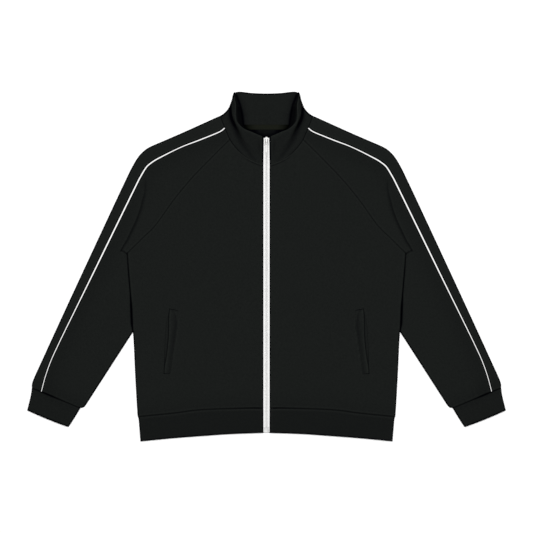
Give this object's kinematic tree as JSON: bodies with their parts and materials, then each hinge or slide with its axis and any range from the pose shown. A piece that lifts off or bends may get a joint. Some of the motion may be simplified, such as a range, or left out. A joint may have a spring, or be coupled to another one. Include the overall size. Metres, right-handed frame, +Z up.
{
  "type": "track jacket",
  "caption": "Black raglan track jacket with stand collar, white full-length zip, white sleeve piping and slanted side pockets, laid flat on its back.",
  "frame": {"origin": "under the middle of the jacket's outline, on the surface that it lies on", "axes": "+X towards the wearer's left sleeve, +Y from hem to collar, +Z up out of the jacket's front"},
  "size_m": [1.025, 0.7501, 0.0211],
  "materials": {
    "jersey": "matt black knit",
    "neck_tape": "dark olive twill",
    "piping": "white knit cord",
    "zip_tape": "white woven tape",
    "nylon": "white satin"
  },
  "bodies": {
    "jacket": {"back_panel": "jersey", "front_panel_left": "jersey", "front_panel_right": "jersey", "sleeve_front_left": "jersey", "sleeve_front_right": "jersey", "sleeve_back_left": "jersey", "sleeve_back_right": "jersey", "piping_left": "piping", "piping_right": "piping", "cuff_left": "jersey", "cuff_right": "jersey", "hem_band": "jersey", "collar": "jersey", "neck_tape": "neck_tape", "pocket_welt_left": "jersey", "pocket_welt_right": "jersey", "zip_tape_left": "zip_tape", "zip_tape_right": "zip_tape", "zip_chain": "nylon", "zip_slider": "nylon", "zip_box": "nylon"},
    "pull": {"zip_pull": "nylon"}
  },
  "joints": [
    {"name": "pull_hinge", "type": "hinge", "parent": "jacket", "child": "pull", "pos_m": [0, 0.262, 0.01243], "axis": [-1, 0, 0], "range_deg": [0, 165]}
  ]
}
